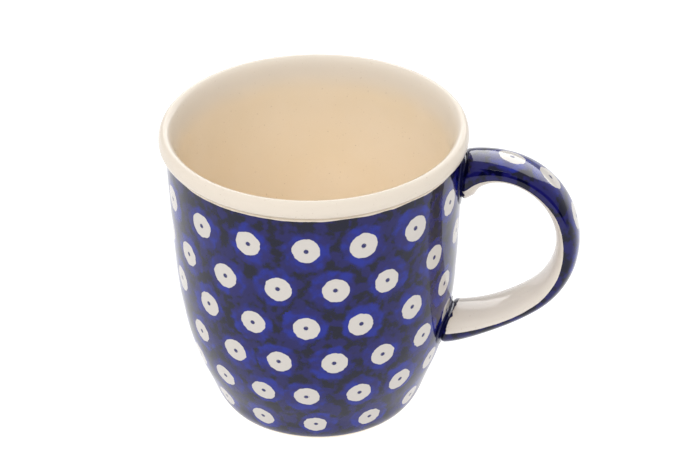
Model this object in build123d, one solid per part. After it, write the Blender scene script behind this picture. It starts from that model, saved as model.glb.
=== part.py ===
from build123d import *
import math
import os

# Polish stoneware mug, in millimetres. The origin is the centre of the foot on
# the standing plane, +Z runs up the mug's axis and the handle points along +X.

# Wall, as radii of its outside, each one measured in from the one above it
mug_height = 95.0
neck_radius = 44.15         # just under the rim bead
neck_splay = 0.03           # the wall's outward slope at the neck
waist_inset = 1.45          # neck to waist, where the belly ends
waist_z = 47.5
belly_inset = 5.2           # waist to the belly's lower half
belly_z = 19.0
heel_inset = 6.0            # belly to the top of the rounded heel
heel_z = 3.8
foot_inset = 5.85           # heel to the edge of the flat standing ring
wall_thickness = 4.0

# Base
foot_ring_width = 4.2
recess_depth = 1.5
base_thickness = 5.0        # between the recess and the drink
floor_round = 9.0           # between the floor and the wall

# Rim bead
bead_height = 6.0
bead_overhang = 1.9         # how far it stands out past the neck
bead_widest_drop = 3.4      # crest down to the widest point
crest_inset = 1.75          # widest point in to the crest
crease_depth = 0.55         # line pressed in under the bead
flare_height = 11.0         # crest down to where the lip meets the inner wall

# Handle
upper_root_drop = 15.0      # rim to the middle of the upper root
root_span = 49.2            # between the middles of the two roots
reach = 32.2                # neck to the furthest point of the centre line
bow_radius = 23.0
bow_drop = 20.6             # upper root to the bow's centre
bow_start = 101.5           # degrees round the bow, from the outward direction
bow_end = -55.5
strap_width = 17.4
strap_thickness = 7.0
upper_root_width = 17.0
upper_root_thickness = 12.8
upper_root_shift = -1.1     # root's middle, outward from the centre line
upper_flare = 7.2           # length over which the upper root spreads
lower_root_width = 19.6
lower_root_thickness = 10.6
lower_root_shift = 0.7
lower_flare = 13.4
lean = 8.0                  # degrees that the handle tilts about +X
root_sink = 3.0             # straight stretch of the handle's run inside the wall
run_sections = 25           # sections along the handle's run

# Joints and fired coats
joint_gap = 1.1             # slip between the glazed wall and the handle's end
joint_inset = 0.9           # groove round each slip joint
coat = 0.3                  # thickness of every fired coat
cobalt_top_drop = 6.4       # rim down to the top of the cobalt
foot_band_top = 2.6
dry_height = 0.4            # bare clay at the foot
grip_edge_upper = 1.2       # from the strap's middle in to the edge of the cobalt
grip_edge_lower = -1.0

curve_spans = 12            # stretches in a redrawn curve
past = 30.0                 # how far cutting shapes run past the object

waist_radius = neck_radius - waist_inset
belly_radius = waist_radius - belly_inset
heel_radius = belly_radius - heel_inset
foot_radius = heel_radius - foot_inset
bead_radius = neck_radius + bead_overhang
crease_z = mug_height - bead_height
neck_z = crease_z - crease_depth
floor_z = recess_depth + base_thickness
upper_root_z = mug_height - upper_root_drop
lower_root_z = upper_root_z - root_span


def wall_line():
    """Outside of the wall: the heel's arc, then one smooth curve up to the neck."""
    heel = TangentArc((foot_radius, 0), (heel_radius, heel_z), tangent=(1, 0))
    points = [heel @ 1, (belly_radius, belly_z), (waist_radius, waist_z), (neck_radius, neck_z)]
    return [heel, Spline(points, tangents=[heel % 1, (neck_splay, 1)])]


def wall_radius(z):
    """Radius of the wall's outside at a height, by halving the curve up to the neck."""
    side = wall_line()[-1]
    low, high = 0.0, 1.0
    while high - low > 1e-6:
        middle = (low + high) / 2
        low, high = (middle, high) if (side @ middle).Y < z else (low, middle)
    return (side @ low).X


def moved(face, amount):
    """A face with its outline moved out by amount, its free curves redrawn as splines."""
    edges = []
    for edge in offset(face, amount).faces()[0].outer_wire().edges():
        if edge.geom_type == GeomType.OFFSET:
            points = [edge @ (i / curve_spans) for i in range(curve_spans + 1)]
            edge = Spline(points, tangents=[edge % 0, edge % 1])
        edges.append(edge)
    return make_face(edges)


def face_to_axis(edges, low, high):
    """Closed face between a line of edges and a line just past the mug's axis."""
    behind = -wall_thickness
    start, end = edges[0] @ 0, edges[-1] @ 1
    ring = [
        Line((behind, low), start),
        *edges,
        Line(end, (behind, high)),
        Line((behind, high), (behind, low)),
    ]
    return make_face(ring)


def wall_face():
    """The wall's outline as if the mug were solid clay, carried on above the rim."""
    top = mug_height + past
    rise = Line((neck_radius, neck_z), (neck_radius, top))
    return face_to_axis([*wall_line(), rise], 0, top)


def outer_face():
    """Outline with the crease and the rim bead, up to the crest."""
    side = wall_line()
    crease = Line(side[-1] @ 1, (neck_radius - crease_depth, crease_z))
    widest = (bead_radius, mug_height - bead_widest_drop)
    under = TangentArc(crease @ 1, widest, tangent=(1, 0))
    shoulder = (bead_radius - 0.4 * crest_inset, mug_height - 0.2 * bead_widest_drop)
    outer = TangentArc(under @ 1, shoulder, tangent=under % 1)
    crest = TangentArc(outer @ 1, (bead_radius - crest_inset, mug_height), tangent=outer % 1)
    return face_to_axis([*side, crease, under, outer, crest], 0, mug_height)


def cavity_face():
    """Space for the drink: inner wall, rounded floor and the lip's flare."""
    inner = moved(wall_face(), -wall_thickness)
    room = Pos(0, floor_z + past + mug_height / 2) * Rectangle(4 * neck_radius, 2 * past + mug_height)
    inner = inner & room
    corner = inner.vertices().filter_by_position(Axis.Y, floor_z - 0.01, floor_z + 0.01)
    inner = fillet(corner.sort_by(Axis.X)[-1:], floor_round)
    crest = (bead_radius - crest_inset, mug_height)
    lip_end = (crest[0] - 0.8 * crest_inset, mug_height - 0.45 * crest_inset)
    lip = TangentArc(crest, lip_end, tangent=(-1, 0))
    flare_end = (neck_radius - wall_thickness - coat, mug_height - flare_height)
    flare = TangentArc(lip @ 1, flare_end, tangent=lip % 1)
    rise = Line((crest[0], mug_height + past), crest)
    return inner + face_to_axis([rise, lip, flare], mug_height + past, flare_end[1])


def recess_face():
    """Shallow hollow under the base, inside the standing ring."""
    edge = foot_radius - foot_ring_width
    slope = Line((edge, 0), (edge - recess_depth, recess_depth))
    return face_to_axis([slope], 0, recess_depth)


def band(low, high):
    """Flat strip across the whole profile between two heights."""
    return Pos(0, (low + high) / 2) * Rectangle(4 * neck_radius, high - low)


def spin(face):
    """Turn the part of a profile that lies outside the axis into a solid."""
    half = Pos(2 * neck_radius, mug_height / 2) * Rectangle(4 * neck_radius, mug_height + 4 * past)
    return revolve(Plane.XZ * (face & half), Axis.Z)


def solid_wall(grow):
    """The mug as a solid block, its wall moved out by grow."""
    return spin(moved(wall_face(), grow) & band(-past, mug_height + past))


def handle_line():
    """Centre line of the handle from inside the wall, round the bow and back."""
    bow_x = neck_radius + reach - bow_radius
    bow = CenterArc((bow_x, upper_root_z - bow_drop), bow_radius, bow_start, bow_end - bow_start)
    upper = (wall_radius(upper_root_z), upper_root_z)
    lower = (wall_radius(lower_root_z), lower_root_z)
    chord = (bow @ 0 - Vector(upper)).normalized()
    rise = chord * 2 * chord.dot(bow % 0) - bow % 0
    arm = TangentArc(upper, bow @ 0, tangent=rise)
    leg = TangentArc(bow @ 1, lower, tangent=bow % 1)
    arm_sink = Line(arm @ 0 - (arm % 0) * root_sink, arm @ 0)
    leg_sink = Line(leg @ 1, leg @ 1 + (leg % 1) * root_sink)
    return Wire([arm_sink, arm, bow, leg, leg_sink])


def strap_size(along, length):
    """Width, thickness and outward shift of the strap at a distance along its line."""
    up = math.exp(-((max(along - root_sink, 0) / upper_flare) ** 1.5))
    down = math.exp(-((max(length - root_sink - along, 0) / lower_flare) ** 1.5))
    width = strap_width + (upper_root_width - strap_width) * up + (lower_root_width - strap_width) * down
    extra_up = (upper_root_thickness - strap_thickness) * up
    extra_down = (lower_root_thickness - strap_thickness) * down
    shift = upper_root_shift * up + lower_root_shift * down
    return width, strap_thickness + extra_up + extra_down, shift


def handle_run(section):
    """Loft along the handle, with section(width, thickness, share of the run) giving each outline."""
    line = handle_line()
    outlines = []
    for i in range(run_sections):
        u = i / (run_sections - 1)
        at, along = line @ u, line % u
        plane = Plane(origin=(at.X, 0, at.Y), x_dir=(0, 1, 0), z_dir=(along.X, 0, along.Y))
        width, thick, shift = strap_size(u * line.length, line.length)
        outlines.append(plane * Pos(0, shift) * section(width, thick, u))
    middle = (upper_root_z + lower_root_z) / 2
    return Pos(0, 0, middle) * Rot(-lean, 0, 0) * Pos(0, 0, -middle) * loft(outlines)


def strap(grow):
    """The handle's oval strap with its surface moved out by grow."""
    return handle_run(lambda width, thick, u: Ellipse(width / 2 + grow, thick / 2 + grow))


def grip_side():
    """Everything on the finger's side of the strap, past the cobalt's edge."""
    def section(width, thick, u):
        depth = thick / 2 + 1
        edge = grip_edge_upper + (grip_edge_lower - grip_edge_upper) * u
        return Pos(0, -(edge + depth) / 2) * Rectangle(width + 6, depth - edge)
    return handle_run(section)


def body_parts():
    """The clay body and the coats fired on it."""
    glazed = outer_face() - cavity_face() - recess_face()
    dry = glazed & band(0, dry_height)
    clay = (moved(glazed, -coat) & band(dry_height, mug_height)) + dry
    skin = glazed - clay
    cobalt_top = mug_height - cobalt_top_drop
    inside = moved(wall_face(), -wall_thickness / 2) & band(recess_depth + base_thickness / 2, mug_height)
    under = Rectangle(2 * foot_radius - foot_ring_width, 4 * recess_depth)
    cobalt = (skin & band(foot_band_top, cobalt_top)) - inside - under
    foot_band = (skin & band(0, foot_band_top)) - under
    liner = (skin & inside) + (skin & band(cobalt_top, mug_height))
    return {
        "stoneware_body": spin(clay),
        "cobalt_wall_coat": spin(cobalt),
        "foot_band_glaze": spin(foot_band),
        "base_recess_glaze": spin(skin & under),
        "liner_glaze": spin(liner),
    }


def handle_parts():
    """The strap, its coats and the slip that joins it to the wall."""
    seat = solid_wall(joint_gap)
    whole, core = strap(0), strap(-coat)
    shell = whole - core - seat
    grip = grip_side()
    tongue = strap(-joint_inset)
    slip = (tongue & seat) - solid_wall(-coat)
    lower, upper = slip.solids().sort_by(Axis.Z)
    return {
        "stoneware_handle": core - seat,
        "cobalt_handle_coat": shell - grip,
        "handle_grip_glaze": shell & grip,
        "upper_slip_joint": upper,
        "lower_slip_joint": lower,
    }, tongue


parts = body_parts()
handle, tongue = handle_parts()
parts["cobalt_wall_coat"] = parts["cobalt_wall_coat"] - tongue
parts.update(handle)

os.makedirs("parts", exist_ok=True)
for name, shape in parts.items():
    solids = shape.solids()
    print(name, len(solids), "solids", round(sum(s.volume for s in solids), 1), "mm3")
    export_step(shape, f"parts/{name}.step")
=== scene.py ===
import math
import bpy
import numpy as np
from mathutils import Matrix, Vector


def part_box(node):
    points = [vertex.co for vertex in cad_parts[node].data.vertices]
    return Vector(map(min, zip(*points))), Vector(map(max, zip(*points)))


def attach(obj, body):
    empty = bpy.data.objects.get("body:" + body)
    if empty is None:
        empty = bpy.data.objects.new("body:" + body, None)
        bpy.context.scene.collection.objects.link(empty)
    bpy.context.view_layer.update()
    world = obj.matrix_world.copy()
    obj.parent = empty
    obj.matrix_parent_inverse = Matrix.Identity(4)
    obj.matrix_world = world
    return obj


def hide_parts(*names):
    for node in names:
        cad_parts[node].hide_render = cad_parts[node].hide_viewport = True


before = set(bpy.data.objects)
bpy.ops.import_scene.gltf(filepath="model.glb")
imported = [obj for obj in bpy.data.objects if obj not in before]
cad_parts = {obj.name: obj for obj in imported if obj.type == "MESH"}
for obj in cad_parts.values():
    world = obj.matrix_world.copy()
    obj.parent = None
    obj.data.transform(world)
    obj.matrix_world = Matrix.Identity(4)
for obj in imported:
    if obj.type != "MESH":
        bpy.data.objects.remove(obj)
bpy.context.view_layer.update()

mm = 0.001
body = "root"               # nothing on a mug moves, so every piece rides here
dice = np.random.default_rng(7)


def edgeOf(node, corner, axis):         # one side of a CAD node's box, in mm
    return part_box(node)[corner][axis] / mm


# Everything below is in mm until a mesh is made

def curveThrough(points, step):         # natural cubic spline, sampled evenly
    p = np.array(points, float)
    t = np.concatenate([[0], np.cumsum(np.linalg.norm(np.diff(p, axis=0), axis=1))])
    h, n = np.diff(t), len(t)
    system, bend = np.eye(n), np.zeros_like(p)
    for i in range(1, n - 1):
        system[i, i - 1:i + 2] = h[i - 1], 2 * (h[i - 1] + h[i]), h[i]
        bend[i] = 6 * ((p[i + 1] - p[i]) / h[i] - (p[i] - p[i - 1]) / h[i - 1])
    m = np.linalg.solve(system, bend)
    u = np.linspace(0, t[-1], max(round(t[-1] / step), 2) + 1)
    i = np.clip(np.searchsorted(t, u) - 1, 0, n - 2)
    a, b, w = ((t[i + 1] - u) / h[i])[:, None], ((u - t[i]) / h[i])[:, None], h[i][:, None]
    return a * p[i] + b * p[i + 1] + ((a**3 - a) * m[i] + (b**3 - b) * m[i + 1]) * w**2 / 6


def lengthsAlong(line):
    return np.concatenate([[0], np.cumsum(np.linalg.norm(np.diff(line, axis=0), axis=1))])


def between(line, low, high):           # the stretch of a rising line between two heights
    inside = line[(line[:, 1] > low + 0.02) & (line[:, 1] < high - 0.02)]
    ends = [(np.interp(z, line[:, 1], line[:, 0]), z) for z in (low, high)]
    return np.vstack([ends[0], inside, ends[1]])


def movedIn(line, depth):               # parallel line on its left, which is the clay's side
    d = np.gradient(line, axis=0)
    d /= np.linalg.norm(d, axis=1)[:, None]
    out = line + depth * np.stack([-d[:, 1], d[:, 0]], 1)
    out[:, 0] = np.maximum(out[:, 0], 0)
    return out


mug = {
    "footRadius": 25.75,        # outer edge of the standing ring
    "heelRound": 6.4,
    "dryTop": 0.4,              # bare clay up to here
    "wall": [(10.15, 9.5), (6.55, 19), (3.2, 32.3), (1.42, 47.5), (0.72, 62.7), (0.2, 77.9)],
    "wallThickness": 4.0,
    "creaseDepth": 0.3,
    "floorHeight": 6.5,
    "ringInner": 21.55,
    "recessTop": 1.5,
    "coat": 0.3,
    "turns": 480,               # points round each turned piece
}
top = edgeOf("liner_glaze", 1, 2)
rimRadius = edgeOf("liner_glaze", 1, 0)
neckRadius = edgeOf("cobalt_wall_coat", 1, 0)
cobaltTop = edgeOf("cobalt_wall_coat", 1, 2)
cobaltFoot = edgeOf("cobalt_wall_coat", 0, 2)


def wallOutline():
    heel = [(mug["footRadius"] + mug["heelRound"] * math.cos(math.radians(a)),
             mug["heelRound"] * (1 + math.sin(math.radians(a)))) for a in (-90, -70, -50, -33)]
    stations = [(neckRadius - inset, z) for inset, z in mug["wall"]]
    return curveThrough([*heel, *stations, (neckRadius - 0.02, cobaltTop)], 0.8)


def rimOutline():                       # crease, bead, crest, flare, inner wall, floor, axis
    crease = (neckRadius - mug["creaseDepth"], top - 6.0)
    start = (neckRadius - 0.02, cobaltTop)
    tuck = curveThrough([start, (neckRadius - 0.75 * mug["creaseDepth"], top - 6.15), crease], 0.12)
    bead = [crease, (neckRadius + 0.25, top - 5.75), (rimRadius - 0.62, top - 4.95),
            (rimRadius - 0.02, top - 3.45), (rimRadius - 0.22, top - 1.85), (rimRadius - 0.85, top - 0.5),
            (rimRadius - 1.85, top), (rimRadius - 2.9, top - 0.42), (rimRadius - 3.85, top - 1.7)]
    innerRadius = neckRadius - mug["wallThickness"]
    flare = [(innerRadius + 1.05, top - 4.3), (innerRadius + 0.32, top - 7.4), (innerRadius, top - 11.0)]
    inner = [(neckRadius - inset - mug["wallThickness"], z) for inset, z in mug["wall"][:0:-1]]
    floor = mug["floorHeight"]
    blend = [(31.2, floor + 6.4), (28.6, floor + 3.0), (24.4, floor + 0.75), (19.0, floor + 0.08),
             (12.0, floor), (6.0, floor), (0.0, floor)]
    over = curveThrough(bead + flare + inner + blend, 0.4)
    return np.vstack([tuck, over[1:40], over[40:-1:3], over[-1:]])


def wobble(angle, z):                   # the slight waviness of a thrown and glazed wall
    low = 0.09 * np.cos(2 * angle + 0.6) + 0.05 * np.cos(3 * angle + 2.0 + z / 34)
    mid = 0.030 * np.sin(5 * angle + z / 11 + 1.1) + 0.018 * np.sin(8 * angle - z / 7)
    return low + mid + 0.010 * np.sin(z / 1.7 + 2 * np.cos(angle))


def wallRadius(z):
    return np.interp(z, outerLine[:, 1], outerLine[:, 0])


def meshPiece(name, points, faces, replaced):
    mesh = bpy.data.meshes.new(name)
    mesh.from_pydata((points * mm).tolist(), [], faces)
    mesh.validate()
    mesh.shade_smooth()
    mesh.set_sharp_from_angle(angle=math.radians(50))
    piece = bpy.data.objects.new(name, mesh)
    bpy.context.scene.collection.objects.link(piece)
    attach(piece, body)
    if replaced:
        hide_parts(*replaced)
    return piece


def cornerMap(mesh, name, values):      # one vector per face corner
    layer = mesh.attributes.new(name, "FLOAT_VECTOR", "CORNER")
    layer.data.foreach_set("vector", np.asarray(values, np.float32).ravel())


def bakeMap(mesh, uv):
    layer = mesh.uv_layers.new(name="OFBake")
    layer.data.foreach_set("uv", np.asarray(uv, np.float32).ravel())


outerLine = wallOutline()


def closed(shown):                      # a shown line and its hidden back, as one closed outline
    back = movedIn(shown, mug["coat"])
    return np.vstack([shown, back[-1:], back[-2:0:-4], back[:1]]), len(shown)


def turnedPiece(name, line, shownCount, slot, replaced, spots=None):
    # A closed outline spun round the axis; its first points are the surface that is seen
    turns = mug["turns"]
    steps = np.arange(turns)
    turn = 2 * math.pi / turns
    pole = line[:, 0] < 0.01
    first = np.concatenate([[0], np.cumsum(np.where(pole, 1, turns))])
    points = []
    for (r, z), single in zip(line, pole):
        angles = steps[:1] * turn if single else steps * turn
        radius = r + wobble(angles, z) * min(r / 25, 1) ** 2 * (not single)
        points.append(np.stack([radius * np.cos(angles), radius * np.sin(angles), 0 * angles + z], 1))
    along = lengthsAlong(line)
    whole = along[shownCount - 1], along[-1]
    faces, uv, spot = [], [], []
    for i in range(len(line)):
        j = (i + 1) % len(line)
        if pole[i] and pole[j]:
            continue
        rows, ahead = [i, i, j, j], [0, 1, 1, 0]
        if pole[i]:
            rows, ahead = [i, j, j], [0.5, 1, 0]
        if pole[j]:
            rows, ahead = [i, i, j], [0, 1, 0.5]
        corners = [first[k] + (0 * steps if pole[k] else (steps + int(a)) % turns)
                   for k, a in zip(rows, ahead)]
        faces += np.stack(corners, 1).tolist()
        at = (steps[:, None] + np.array(ahead)) * turn
        far = along[rows]
        if i < shownCount - 1:          # two half turns, one above the other
            half = (steps[:, None] >= turns // 2) * 1.0
            u, v = at / math.pi - half, 0.05 + 0.475 * half + 0.455 * far / whole[0]
        else:
            u, v = at / (2 * math.pi), 0.005 + 0.03 * (far - whole[0]).clip(0) / (whole[1] - whole[0])
        uv.append(np.stack([0.004 + 0.992 * u, v + 0 * u], 2).reshape(-1, 2))
        if spots is not None:
            spot.append(nearestSpot(at, far, line[rows, 0], spots, i < shownCount - 1))
    piece = meshPiece(name, np.vstack(points), faces, replaced)
    bakeMap(piece.data, np.vstack(uv))
    if spots is not None:
        cornerMap(piece.data, "spot", np.vstack(spot))
    print("turned", name, len(piece.data.polygons), "faces")
    return piece


def nearestSpot(at, far, radii, spots, seen):       # offset in mm from the closest dot, and its seed
    if not seen:
        return np.full((at.size, 3), 60.0)
    turned = (at.mean(1)[:, None] - spots[:, 0] + math.pi) % (2 * math.pi) - math.pi
    best = spots[np.hypot(turned * radii.mean(), far.mean() - spots[:, 1]).argmin(1)]
    x = ((at - best[:, :1] + math.pi) % (2 * math.pi) - math.pi) * radii / best[:, 2:3]
    y = (far - best[:, 1:2]) / best[:, 2:3]
    return np.stack([x, y, 0 * x + best[:, 3:4]], 2).reshape(-1, 3)


# The stamped dots, as rows: height in mm, degrees of the middle dot from the front, degrees from dot to
# dot, how many dots, and their share of the full radius, which shrinks towards the foot
dotRows = [(78.4, -4.1, 22.5, 16, 0.99),
           (64.3, 6.6, 22.2, 16, 0.96),
           (51.0, -4.3, 21.9, 16, 0.95),
           (37.6, 5.9, 21.3, 17, 0.94),
           (23.6, -4.5, 21.3, 17, 0.92),
           (10.1, -2.0, 27.7, 13, 0.86)]
dotShake = {"along": 0.12, "round": 0.5, "strap": 0.5 / 3, "size": 0.02}     # mm, and a share of the radius
frontTurn = -90 + 9.25                  # where the rows are counted from, in degrees about the axis


def wallSpots(line):
    along = np.interp([row[0] for row in dotRows], line[:, 1], lengthsAlong(line))
    made = []
    for (z, middle, spacing, count, share), level in zip(dotRows, along):
        for k in range(count):
            degrees = middle + spacing * (k - count // 2)
            stretch = (360 - spacing * count) / 2 * (degrees / 180) ** 3     # closes the row at the back
            shake = dice.normal(size=3)
            angle = math.radians(frontTurn + degrees + stretch) + dotShake["round"] * shake[0] / wallRadius(z)
            size = share * (1 + dotShake["size"] * shake[2])
            made.append((angle, level + dotShake["along"] * shake[1], size, dice.uniform(0, 50)))
    return np.array(made)


handle = {
    "upperRootDrop": 15.0,      # rim to the middle of the upper root
    "rootSpan": 49.2,
    "reach": 32.2,              # neck to the furthest point of the middle line
    "bowRadius": 23.0,
    "bowDrop": 20.6,            # upper root to the middle of the bow
    "bowDegrees": (101.5, -55.5),
    "strap": (17.4, 7.0),       # width and thickness
    "upperRoot": (17.0, 12.8),
    "upperShift": -1.1,         # the root's thickening lies on the finger's side, in mm
    "upperFlare": 7.2,          # length over which the root spreads
    "lowerRoot": (19.6, 10.6),
    "lowerShift": 0.7,
    "lowerFlare": 13.4,
    "squareness": 2.25,         # of the section: 2 is an ellipse
    "lean": 8.0,                # degrees about the line that points away from the mug
    "gap": 1.1,                 # slip between the wall and the handle's end
    "sunk": 8.0,                # how far its lines run on inside the wall, to be trimmed there
    "endRound": 1.1,
    "coverShare": -0.34,        # where the cobalt stops, as a share of the half thickness
    "bareRise": (-0.9, -0.8, 1.9),      # mm of cream past there: upper root, bow, lower root (none below 0)
    "around": 112,              # points round the section
    "steps": 900,               # points along the run
    "dots": (14.6, 26.1, 38.5, 50.4, 62.4, 74.3, 85.6),     # mm along the run from the wall
}


def arcFrom(start, tangent, end):       # the circle that leaves start along tangent and meets end
    start, end = np.array(start), np.array(end)
    side = np.array([-tangent[1], tangent[0]])
    chord = end - start
    radius = chord @ chord / (2 * chord @ side)
    middle = start + radius * side
    a, b = (math.atan2(*(p - middle)[::-1]) for p in (start, end))
    turns = a + np.linspace(0, 1, 60) * ((b - a + math.pi) % (2 * math.pi) - math.pi)
    return middle + abs(radius) * np.stack([np.cos(turns), np.sin(turns)], 1)


def handleLine():                       # its middle in the x, z plane, from the upper root to the lower
    upperZ = top - handle["upperRootDrop"]
    lowerZ = upperZ - handle["rootSpan"]
    radius = handle["bowRadius"]
    middle = np.array([neckRadius + handle["reach"] - radius, upperZ - handle["bowDrop"]])
    turns = np.radians(np.linspace(*handle["bowDegrees"], 160))
    bow = middle + radius * np.stack([np.cos(turns), np.sin(turns)], 1)
    away = np.array([math.sin(turns[0]), -math.cos(turns[0])])
    upper = arcFrom(bow[0], -away, (wallRadius(upperZ), upperZ))[::-1]
    down = np.array([math.sin(turns[-1]), -math.cos(turns[-1])])
    lower = arcFrom(bow[-1], down, (wallRadius(lowerZ), lowerZ))
    inside = [upper[0] + handle["sunk"] * (upper[0] - upper[1]) / np.linalg.norm(upper[0] - upper[1])]
    past = lower[-1] - lower[-2]
    inner = [lower[-1] + handle["sunk"] * past / np.linalg.norm(past)]
    line = np.vstack([inside, upper, bow[1:], lower[1:], inner])
    far = lengthsAlong(line)
    even = np.linspace(0, far[-1], handle["steps"])
    spaced = np.stack([np.interp(even, far, line[:, 0]), np.interp(even, far, line[:, 1])], 1)
    return spaced, even - handle["sunk"]


def sectionShape():                     # a unit section from the inner face's middle, right round
    turns = np.linspace(-math.pi / 2, 1.5 * math.pi, 2001)
    power = 2 / handle["squareness"]
    w = np.sign(np.cos(turns)) * np.abs(np.cos(turns)) ** power
    t = np.sign(np.sin(turns)) * np.abs(np.sin(turns)) ** power
    far = lengthsAlong(np.stack([w * handle["strap"][0], t * handle["strap"][1]], 1))
    even = np.linspace(0, far[-1], handle["around"] + 1)[:-1]
    return np.interp(even, far, w), np.interp(even, far, t)


runLine, runAt = handleLine()
runLength = runAt[-1] - handle["sunk"]
unitW, unitT = sectionShape()


def runLines(inset):                    # the section's points swept along the run, and their clearance
    d = np.gradient(runLine, axis=0)
    d /= np.linalg.norm(d, axis=1)[:, None]
    upper = np.exp(-(runAt.clip(0) / handle["upperFlare"]) ** 1.5)[:, None]
    lower = np.exp(-((runLength - runAt).clip(0) / handle["lowerFlare"]) ** 1.5)[:, None]
    strap = np.array(handle["strap"])
    size = strap + upper * (handle["upperRoot"] - strap) + lower * (handle["lowerRoot"] - strap)
    s = runAt[:, None]
    size = size + 0.16 * np.sin(s / 9 + [0.4, 2.0]) + 0.07 * np.sin(s / 3.7 + [1.0, 0.2])
    half = size / 2 - inset
    w = half[:, :1] * unitW
    t = half[:, 1:] * unitT + handle["upperShift"] * upper + handle["lowerShift"] * lower
    x = runLine[:, :1] - d[:, 1:] * t
    z = runLine[:, 1:] + d[:, :1] * t
    w = w + 0.12 * np.sin(s / 13 + 0.8)
    lean, pivot = math.radians(handle["lean"]), (runLine[0, 1] + runLine[-1, 1]) / 2
    y = w * math.cos(lean) + (z - pivot) * math.sin(lean)
    z = pivot + (z - pivot) * math.cos(lean) - w * math.sin(lean)
    lines = np.stack([x, y, z], 2)
    return lines, np.hypot(x, y) - np.interp(z, outerLine[:, 1], outerLine[:, 0])


def crossing(clear, level, end):        # where along each line it comes level with that clearance
    rows = np.arange(len(clear))
    middle = len(clear) // 2
    if end == "upper":
        k = middle - (clear[:middle][::-1] < level).argmax(0)
        a, b = k - 1, k
    else:
        k = middle + (clear[middle:] < level).argmax(0)
        a, b = k, k - 1
    columns = np.arange(clear.shape[1])
    low, high = clear[a, columns], clear[b, columns]
    return rows[a] + (rows[b] - rows[a]) * (level - low) / (high - low)


def sample(values, index):              # values between rows, one fractional index per column
    low = np.clip(np.floor(index).astype(int), 0, len(values) - 2)
    share = index - low
    columns = np.arange(values.shape[1])
    if values.ndim == 3:
        share = share[:, None]
    return values[low, columns] * (1 - share) + values[low + 1, columns] * share


def runSkin(inset, extraGap, capInset):
    # Rows of points from the upper end's cap to the lower end's, with rounded end edges
    lines, clear = runLines(inset)
    pitch = runAt[1] - runAt[0]
    level = handle["gap"] + extraGap
    begin, stop = crossing(clear, level, "upper"), crossing(clear, level, "lower")
    core = lines.mean(1, keepdims=True)
    radius = handle["endRound"] - extraGap
    near = np.array([0, 0.03, 0.1, 0.22, 0.4, 0.62, 0.85, 1]) * radius
    rows, place = [], []
    for share, offset in [(0, d) for d in near] + [(v, None) for v in np.linspace(0, 1, 200)[1:-1]] \
            + [(1, d) for d in near[::-1]]:
        if offset is None:
            index = (begin + near[-1] / pitch) * (1 - share) + (stop - near[-1] / pitch) * share
            shrink = 0
        else:
            index = begin + offset / pitch if share == 0 else stop - offset / pitch
            shrink = radius - math.sqrt(max(radius ** 2 - (radius - offset) ** 2, 0))
        ring = sample(lines, index)
        middle = sample(np.repeat(core, lines.shape[1], 1), index)
        out = ring - middle
        rows.append(middle + out * (1 - shrink / np.linalg.norm(out, axis=1))[:, None])
        place.append(np.stack([(index - begin) * pitch, (stop - index) * pitch, runAt[0] + index * pitch], 1))
    for end, where in ((0, begin), (-1, stop)):
        ring = sample(lines, where)
        middle = sample(np.repeat(core, lines.shape[1], 1), where)
        out = ring - middle
        cap = middle + out * (1 - (capInset - inset) / np.linalg.norm(out, axis=1))[:, None]
        rows.insert(0 if end == 0 else len(rows), cap)
        place.insert(0 if end == 0 else len(place), place[end])
    return np.array(rows), np.array(place)


def gridFaces(rows, columns, wrap, base=0, flip=False):
    i, j = np.meshgrid(np.arange(rows - 1), np.arange(columns - (not wrap)), indexing="ij")
    k = (j + 1) % columns
    quads = np.stack([i * columns + j, i * columns + k, (i + 1) * columns + k, (i + 1) * columns + j], 2)
    quads = quads.reshape(-1, 4) + base
    return quads[:, ::-1] if flip else quads


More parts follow.
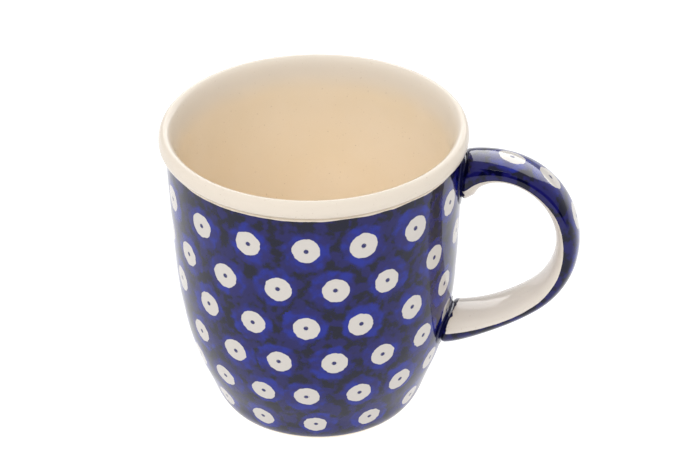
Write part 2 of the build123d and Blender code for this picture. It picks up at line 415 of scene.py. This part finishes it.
def strapShell(name, columns, replaced, dotted):
    # Part of the handle's coat: the outer skin, the same skin one coat deeper, and strips between them
    coat = mug["coat"]
    outer, place = runSkin(0, 0, 1.8)
    inner, _ = runSkin(coat, coat, 1.8)
    outer, inner, place = outer[:, columns], inner[:, columns], place[:, columns]
    n, m = outer.shape[:2]
    points = np.vstack([outer.reshape(-1, 3), inner.reshape(-1, 3)])
    shown = gridFaces(n, m, False)
    back = gridFaces(n, m, False, n * m, True)
    ring = np.concatenate([np.arange(m), np.arange(1, n) * m + m - 1, (n - 1) * m + np.arange(m - 2, -1, -1),
                           np.arange(n - 2, 0, -1) * m])
    after = np.roll(ring, -1)
    strips = np.stack([after, ring, ring + n * m, after + n * m], 1)
    faces = np.vstack([shown, back, strips])
    piece = meshPiece(name, points, faces.tolist(), replaced)
    mesh = piece.data
    # distances over the skin, in mm: across from the middle column, along from the wall
    step = np.linalg.norm(np.diff(outer, axis=1), axis=2)
    across = np.concatenate([np.zeros((n, 1)), np.cumsum(step, axis=1)], 1)
    fromEdge = np.minimum(across, across[:, -1:] - across)
    across = across - across[:, -1:] / 2
    layer = mesh.attributes.new("place", "FLOAT_VECTOR", "POINT")
    rise = np.interp(place[..., 2] / runLength, (0.05, 0.35, 0.75), handle["bareRise"]) * dotted
    values = np.stack([place[..., 0], place[..., 1], fromEdge - rise], 2).reshape(-1, 3)
    layer.data.foreach_set("vector", np.vstack([values, values]).astype(np.float32).ravel())
    rowOf, columnOf = np.divmod(faces % (n * m), m)
    u = rowOf / (n - 1)
    v = columnOf / (m - 1)
    half = ((rowOf.mean(1) + 0.25) // (n // 2)).clip(0, 1)[:, None]
    backSide = (np.arange(len(faces)) >= len(shown))[:, None]
    uv = np.stack([np.where(backSide, u, 2 * (u - half * (n // 2) / (n - 1))).clip(0, 1),
                   np.where(backSide, 0.01, 0.03 + half * 0.48 + 0.47 * v)], 2)
    bakeMap(mesh, uv.reshape(-1, 2))
    if dotted:
        crest = np.linalg.norm(np.diff(outer[:, m // 2], axis=0), axis=1)
        crest = np.concatenate([[0], np.cumsum(crest)])
        at = np.interp(handle["dots"], place[:, m // 2, 2], crest)
        at = at + dotShake["along"] * dice.normal(size=len(at))
        shift = dotShake["strap"] * dice.normal(size=len(at))
        seeds = dice.uniform(0, 50, len(at))
        far = crest[rowOf]
        best = np.abs(far.mean(1)[:, None] - at).argmin(1)[:, None]
        x, y = across[rowOf, columnOf] - shift[best], far - at[best]
        spot = np.stack([x, y, seeds[best] + 0 * x], 2)
        spot[len(shown):] = 60
        cornerMap(mesh, "spot", spot.reshape(-1, 3))
    print("handle", name, len(faces), "faces")
    return piece


def tube(name, rings, replaced):  # rings closed into a tube with both ends capped
    n, m = len(rings), len(rings[0])
    points = np.vstack([np.vstack(rings), rings[0].mean(0), rings[-1].mean(0)])
    faces = gridFaces(n, m, True).tolist()
    for j in range(m):
        k = (j + 1) % m
        faces.append([n * m, k, j])
        faces.append([n * m + 1, (n - 1) * m + j, (n - 1) * m + k])
    return meshPiece(name, points, faces, replaced)


slip = {
    "groove": 0.95,             # how far the joint stands in from the handle's sides
    "skirt": 1.0,               # how far the slip spreads on to the wall
    "lump": 0.45,               # height of its lumps
}


def slipPiece(name, end, replaced):
    turns = np.linspace(0, 2 * math.pi, handle["around"], endpoint=False)
    a, b = dice.uniform(0, 6, 2)
    lump = 0.5 * np.sin(3 * turns + a) + 0.3 * np.sin(7 * turns + b) + 0.2 * np.sin(13 * turns + a)
    lump = slip["lump"] * (lump + 0.9 * np.exp(-((turns - math.pi) / 0.5) ** 2))
    gap = handle["gap"]
    rings = []
    groove = slip["groove"]
    skirt = slip["skirt"]
    # from inside the handle's end to under the wall's glaze: how far in, how far off the wall, how lumpy
    profile = ((2.1, gap + 0.9, 0), (groove + 0.25, gap + 0.35, 0), (groove, gap * 0.85, 0),
               (groove * 0.93, gap * 0.62, 0.1), (groove * 0.6, gap * 0.46, 0.3), (0.15, gap * 0.42, 0.6),
               (-skirt * 0.45, gap * 0.37, 0.9), (-skirt * 0.8, gap * 0.22, 1), (-skirt, 0.02, 1),
               (-skirt * 1.05, -0.35, 1))
    for inset, level, share in profile:
        lines, clear = runLines(0)
        core = lines.mean(1, keepdims=True)
        out = lines - core
        size = np.linalg.norm(out, axis=2, keepdims=True)
        lines = core + out * (1 - (inset - share * lump[None, :, None]) / size)
        clear = np.hypot(lines[..., 0], lines[..., 1]) - np.interp(lines[..., 2], *outerLine.T[::-1])
        rings.append(sample(lines, crossing(clear, level, end)))
    if end == "lower":
        rings = rings[::-1]
    return tube(name, rings[::-1], replaced)


# Node materials: a socket takes either a value or another node's output

def node(tree, kind, values, output=0, **settings):
    made = tree.nodes.new("ShaderNode" + kind)
    for key, value in settings.items():
        setattr(made, key, value)
    for key, value in values.items():
        if isinstance(value, bpy.types.NodeSocket):
            tree.links.new(value, made.inputs[key])
        else:
            made.inputs[key].default_value = value
    return made.outputs[output] if len(made.outputs) else None


def calc(tree, operation, *values):
    return node(tree, "Math", dict(enumerate(values)), operation=operation)


def ramp(tree, value, low, high):       # 0 at low, 1 at high, eased
    return node(tree, "MapRange", {0: value, 1: low, 2: high}, interpolation_type="SMOOTHSTEP")


def noise(tree, place, scale, detail=2.0, rough=0.5):   # scale is per metre, or per mm on mm vectors
    return node(tree, "TexNoise", {"Vector": place, "Scale": scale, "Detail": detail, "Roughness": rough})


def blend(tree, share, a, b):
    return node(tree, "Mix", {0: share, 6: a, 7: b}, 2, data_type="RGBA", clamp_factor=True)


def newMaterial(name):
    material = bpy.data.materials.new(name)
    material.use_nodes = True
    material.node_tree.nodes.clear()
    return material, material.node_tree


def finishMaterial(tree, colour, roughness, height, depth, ior):
    bump = node(tree, "Bump", {"Height": height, "Distance": depth * mm, "Strength": 1.0})
    values = {"Base Color": colour, "Roughness": roughness, "Normal": bump, "IOR": ior}
    shaded = node(tree, "BsdfPrincipled", values)
    node(tree, "OutputMaterial", {"Surface": shaded})


def linear(red, green, blue):           # screen values 0-255 to a colour
    parts = [c / 255 for c in (red, green, blue)]
    return [c / 12.92 if c <= 0.04045 else ((c + 0.055) / 1.055) ** 2.4 for c in parts] + [1]


glaze = {
    "rim": linear(229, 218, 203),           # outside and over the lip
    "cream": linear(249, 234, 211),         # lighter and yellower than the lip's cream: down inside, foot and base
    "creamThin": linear(246, 229, 201),
    "grip": linear(228, 219, 208),          # on the finger's side of the handle
    "dot": linear(211, 205, 198),
    "speck": linear(150, 122, 92),
    "cobalt": linear(18, 35, 142),
    "violet": linear(25, 22, 98),
    "ground": linear(4, 5, 36),
    "patch": linear(22, 20, 88),
    "clay": linear(214, 196, 172),
    "slip": linear(22, 24, 70),
    "pip": linear(26, 30, 96),
    "roughness": 0.07,
    "creamIor": 1.26,
    "blueIor": 1.39,
    "plainIor": 1.34,
    "ripple": 0.10,             # mm
}
dot = {                             # all in mm
    "radius": 4.05,
    "facet": 0.8,               # unevenness of the disc's edge
    "centre": 0.74,             # radius of the blue point in the middle
    "centreStray": 0.55,        # how far that point may stand off
    "halo": 7.0,
    "haloStray": 2.4,
    "ragged": 4.2,              # unevenness of the halo's edge
    "softness": 0.16,
}
rootBlue = {                        # the paint over the handle's ends, in mm
    "upper": 0.4,
    "lower": 0.6,
    "soft": 0.4,
    "wave": 4.2,                # how far its ragged edge ranges
    "waveBase": -1.5,
}


def creamColour(tree, place, grip=False):
    cloud = noise(tree, place, 45.0, 3.0)
    warm = blend(tree, ramp(tree, cloud, 0.2, 0.85), glaze["cream"], glaze["creamThin"])
    height = node(tree, "SeparateXYZ", {0: place}, 2)
    warm = blend(tree, ramp(tree, height, (top - 12) * mm, (top - 3) * mm), warm, glaze["rim"])
    if grip:
        warm = blend(tree, ramp(tree, cloud, 0.2, 0.85), glaze["grip"], glaze["rim"])
    fine = noise(tree, place, 1300.0, 1.0)
    return blend(tree, calc(tree, "MULTIPLY", ramp(tree, fine, 0.70, 0.80), 0.22), warm, glaze["speck"])


def handlePlace(tree):                  # mm to the upper wall, to the lower wall and past the cobalt's edge
    return node(tree, "SeparateXYZ", {0: node(tree, "Attribute", {}, 1, attribute_name="place")}).node.outputs


def rootPaint(tree, place, split):      # the dark blue brushed over both ends of the handle
    wave = calc(tree, "MULTIPLY_ADD", noise(tree, place, 240.0), rootBlue["wave"], rootBlue["waveBase"])
    ends = []
    for far, reach in ((split[1], rootBlue["lower"]), (split[0], rootBlue["upper"])):
        ends.append(ramp(tree, calc(tree, "SUBTRACT", far, wave), reach, reach - rootBlue["soft"]))
    return calc(tree, "MAXIMUM", *ends)


def creamMaterial(painted):
    material, tree = newMaterial("creamPainted" if painted else "cream")
    place = node(tree, "TexCoord", {}, 3)
    colour = creamColour(tree, place, painted)
    if painted:
        split = handlePlace(tree)
        # near the upper root the blue runs 0.7 mm over the edge on to the finger's side
        edge = calc(tree, "MULTIPLY_ADD", ramp(tree, split[0], 42.0, 25.0), 1.0, -0.3)
        overEdge = ramp(tree, calc(tree, "SUBTRACT", split[2], edge), 0.1, -0.1)
        root = calc(tree, "MAXIMUM", rootPaint(tree, place, split), overEdge)
        colour = blend(tree, root, colour, glaze["slip"])
    ripple = noise(tree, place, 130.0, 2.0)
    finishMaterial(tree, colour, glaze["roughness"] + 0.02, ripple, glaze["ripple"], glaze["creamIor"])
    return material


def strayed(tree, aside, flat, reach):  # distance from a middle that stands off by up to half the reach
    moved = node(tree, "VectorMath", {0: aside, 1: (reach, reach, 0.0), 2: flat}, operation="MULTIPLY_ADD")
    return node(tree, "VectorMath", {0: moved}, 1, operation="LENGTH")


def dotShading(tree, place):            # colour of the spotted paint, from the offset to the nearest dot
    spot = node(tree, "Attribute", {}, 1, attribute_name="spot")
    parts = node(tree, "SeparateXYZ", {0: spot}).node.outputs
    flat = node(tree, "CombineXYZ", {0: parts[0], 1: parts[1]})
    far = node(tree, "VectorMath", {0: flat}, 1, operation="LENGTH")
    seeded = node(tree, "CombineXYZ", {0: parts[0], 1: parts[1], 2: parts[2]})
    facet = calc(tree, "MULTIPLY_ADD", noise(tree, seeded, 0.55, 1.0), dot["facet"], -dot["facet"] / 2)
    disc = ramp(tree, calc(tree, "ADD", far, facet), dot["radius"] + dot["softness"], dot["radius"])
    chance = node(tree, "TexWhiteNoise", {"W": parts[2]}, 1, noise_dimensions="1D")
    aside = node(tree, "VectorMath", {0: chance, 1: (0.5, 0.5, 0.5)}, operation="SUBTRACT")
    pip = ramp(tree, strayed(tree, aside, flat, dot["centreStray"]), dot["centre"] + 0.12,
               dot["centre"] - 0.1)
    ragged = noise(tree, seeded, 0.30, 2.0, 0.5)
    ragged = calc(tree, "MULTIPLY_ADD", ragged, dot["ragged"], -dot["ragged"] / 2)
    haloFar = calc(tree, "ADD", strayed(tree, aside, flat, dot["haloStray"]), ragged)
    halo = ramp(tree, haloFar, dot["halo"] + 0.6, dot["halo"] - 0.9)
    tone = noise(tree, seeded, 0.24, 2.0, 0.5)
    blue = blend(tree, ramp(tree, tone, 0.36, 0.66), glaze["violet"], glaze["cobalt"])
    patch = noise(tree, place, 300.0, 2.0, 0.5)
    ground = blend(tree, ramp(tree, patch, 0.42, 0.58), glaze["ground"], glaze["patch"])
    colour = blend(tree, halo, ground, blue)
    colour = blend(tree, disc, colour, glaze["dot"])
    colour = blend(tree, calc(tree, "MULTIPLY", pip, 0.97), colour, glaze["pip"])
    return colour, disc


def cobaltMaterial(name, strap):
    material, tree = newMaterial(name)
    place = node(tree, "TexCoord", {}, 3)
    colour, disc = dotShading(tree, place)
    wave = calc(tree, "MULTIPLY_ADD", noise(tree, place, 150.0, 2.0), 0.9, -0.45)
    if strap:
        split = handlePlace(tree)
        shown = calc(tree, "SUBTRACT", 1.0, rootPaint(tree, place, split))
        bare = ramp(tree, calc(tree, "SUBTRACT", split[2], calc(tree, "MULTIPLY", wave, 0.6)), 0.12, 0.0)
        bare = calc(tree, "MULTIPLY", bare, shown)
    else:
        z = calc(tree, "MULTIPLY", node(tree, "SeparateXYZ", {0: place}, 2), 1000.0)
        upper = ramp(tree, calc(tree, "ADD", z, wave), cobaltTop - 0.45, cobaltTop - 0.25)
        lower = ramp(tree, calc(tree, "ADD", z, wave), cobaltFoot + 0.35, cobaltFoot + 0.15)
        bare = calc(tree, "MAXIMUM", upper, lower)
    colour = blend(tree, bare, colour, creamColour(tree, place, strap))
    ripple = noise(tree, place, 120.0, 3.0)
    relief = calc(tree, "MULTIPLY_ADD", disc, -0.25, ripple)
    finishMaterial(tree, colour, glaze["roughness"], relief, glaze["ripple"], glaze["blueIor"])
    return material


def plainMaterial(name, colour, roughness, scale, depth):
    material, tree = newMaterial(name)
    place = node(tree, "TexCoord", {}, 3)
    grain = noise(tree, place, scale, 4.0, 0.6)
    darker = [0.8 * c for c in colour[:3]] + [1]
    finishMaterial(tree, blend(tree, grain, darker, colour), roughness, grain, depth, glaze["plainIor"])
    return material


def dress(piece, material):
    piece.data.materials.clear()
    piece.data.materials.append(material)


print("outlines")
ring = mug["ringInner"]
roof = mug["recessTop"]
recessLine = np.array([(0, roof), (7, roof), (14, roof), (19, roof), (20.4, roof - 0.04), (21.0, roof - 0.2),
                       (ring - 0.22, 1.0), (ring - 0.08, 0.7), (ring, mug["dryTop"])])
footLine = np.array([(ring, mug["dryTop"]), (ring + 0.12, 0.15), (ring + 0.4, 0.03), (ring + 0.8, 0),
                     (23.6, 0), (mug["footRadius"] - 0.6, 0)])
dryLine = np.vstack([footLine, between(outerLine, 0.012, mug["dryTop"])])
bandLine = between(outerLine, mug["dryTop"], cobaltFoot)
cobaltLine = between(outerLine, cobaltFoot, cobaltTop)
rimLine = rimOutline()
behind = mug["coat"] + 0.04
insideLine = np.vstack([movedIn(between(outerLine, 0.6, cobaltTop), behind)[::6],
                        movedIn(rimLine, behind)[2::5], [(0, mug["floorHeight"] - behind)],
                        [(0, mug["recessTop"] + behind)], movedIn(recessLine, behind)[1:-2]])

print("turned pieces")
cream = creamMaterial(False)
creamPainted = creamMaterial(True)
clay = plainMaterial("dryClay", glaze["clay"], 0.85, 900.0, 0.12)
clayBody = turnedPiece("clayBody", np.vstack([dryLine, insideLine]), len(dryLine), "bare_stoneware",
                       ["stoneware_body"])
dress(clayBody, clay)
cobaltWall = turnedPiece("cobaltWall", *closed(cobaltLine), "cobalt_wall_decor", ["cobalt_wall_coat"],
                         wallSpots(cobaltLine))
dress(cobaltWall, cobaltMaterial("cobaltWallPaint", False))
for name, line, replaced in (("rimAndLiner", rimLine, "liner_glaze"),
                             ("footBand", bandLine, "foot_band_glaze"),
                             ("baseRecess", recessLine, "base_recess_glaze")):
    dress(turnedPiece(name, *closed(line), "cream_glaze", [replaced]), cream)

print("handle")
covered = np.flatnonzero(unitT > handle["coverShare"])
around = handle["around"]
grip = np.arange(covered[-1], covered[0] + around + 1) % around
cobaltStrap = strapShell("cobaltStrap", covered, ["cobalt_handle_coat"], True)
dress(cobaltStrap, cobaltMaterial("cobaltStrapPaint", True))
dress(strapShell("gripGlaze", grip, ["handle_grip_glaze"], False), creamPainted)
core, _ = runSkin(behind, behind, 2.2)
dress(tube("handleClay", list(core), ["stoneware_handle"]), clay)
slipPaint = plainMaterial("slipGlaze", glaze["slip"], 0.10, 400.0, 0.15)
dress(slipPiece("upperSlip", "upper", ["upper_slip_joint"]), slipPaint)
dress(slipPiece("lowerSlip", "lower", ["lower_slip_joint"]), slipPaint)

studio = {                          # in metres from here on
    "sky": 0.7,
    "floor": (0.33, 0.33, 0.34, 1),
    "floorGlow": 0.85,          # the table is a lit white sheet
    "floorHalf": 4,
    "cloth": (0.01, 0.01, 0.012, 1),
}
lights = {
    # only mirrored: the lit wall behind, and the small bare lamp that makes the hard highlights
    "litWall": {"brightness": 3.6, "size": (3.0, 2.2), "place": (0.2, 1.9, 1.4)},
    "softbox": {"watts": 14.8, "size": (1.4, 1.4), "place": (-0.1, -0.8, 1.15)},
    "lamp": {"brightness": 9.0, "size": (0.34, 0.03), "place": (0.1, -0.5, 1.2)},
}


def card(name, corners, material, seen):
    mesh = bpy.data.meshes.new(name)
    mesh.from_pydata(corners, [], [(0, 1, 2, 3)])
    thing = bpy.data.objects.new(name, mesh)
    thing.data.materials.append(material)
    thing.visible_camera = seen
    bpy.context.scene.collection.objects.link(thing)
    return thing


def flatMaterial(name, colour, roughness, glow=0.0):
    material, tree = newMaterial(name)
    values = {"Base Color": colour, "Roughness": roughness, "Emission Color": (1, 1, 1, 1),
              "Emission Strength": glow}
    node(tree, "OutputMaterial", {"Surface": node(tree, "BsdfPrincipled", values)})
    return material


def areaLight(name, settings, target=(0, 0, 0.05)):
    mirrored = "brightness" in settings
    width, height = settings["size"]
    place = settings["place"]
    light = bpy.data.lights.new(name, "AREA")
    light.shape = "RECTANGLE"
    light.energy = settings["brightness"] * math.pi * width * height if mirrored else settings["watts"]
    light.size, light.size_y = width, height
    thing = bpy.data.objects.new(name, light)
    thing.location = place
    thing.rotation_euler = (Vector(target) - Vector(place)).to_track_quat("-Z", "Y").to_euler()
    thing.visible_diffuse = not mirrored        # a mirrored light only makes highlights
    thing.visible_glossy = mirrored
    thing.visible_camera = False
    bpy.context.scene.collection.objects.link(thing)


print("studio")
scene = bpy.context.scene
scene.view_settings.view_transform = "Standard"
world = bpy.data.worlds.new("studio")
world.use_nodes = True
world.node_tree.nodes["Background"].inputs[0].default_value = (1, 1, 1, 1)
world.node_tree.nodes["Background"].inputs[1].default_value = studio["sky"]
scene.world = world
half = studio["floorHalf"]
card("floor", [(-half, -half, 0), (half, -half, 0), (half, half, 0), (-half, half, 0)],
     flatMaterial("floorSheet", studio["floor"], 0.9, studio["floorGlow"]), True)
cloth = flatMaterial("darkCloth", studio["cloth"], 1.0)
card("darkRoom", [(-2.5, -1.6, 0.05), (2.5, -1.6, 0.05), (2.5, -1.6, 1.5), (-2.5, -1.6, 1.5)], cloth, False)
card("darkCeiling", [(-0.3, -1.6, 1.5), (0.4, -1.6, 1.5), (0.4, -0.6, 1.5), (-0.3, -0.6, 1.5)], cloth,
     False)
for name, settings in lights.items():
    areaLight(name, settings)

print("camera")
view = {
    "lens": 118.3,
    "sensor": 36,
    "place": (0.0955, -0.5863, 0.4284),
    "turn": 8.26,               # degrees, as are the next two
    "tilt": 58,
    "roll": -0.846,
}
lens = bpy.data.cameras.new("camera")
lens.lens, lens.sensor_width = view["lens"], view["sensor"]
camera = bpy.data.objects.new("camera", lens)
turned = Matrix.Rotation(math.radians(view["turn"]), 4, "Z") \
    @ Matrix.Rotation(math.radians(view["tilt"]), 4, "X") \
    @ Matrix.Rotation(math.radians(view["roll"]), 4, "Z")
camera.matrix_world = Matrix.Translation(view["place"]) @ turned
scene.collection.objects.link(camera)
scene.camera = camera
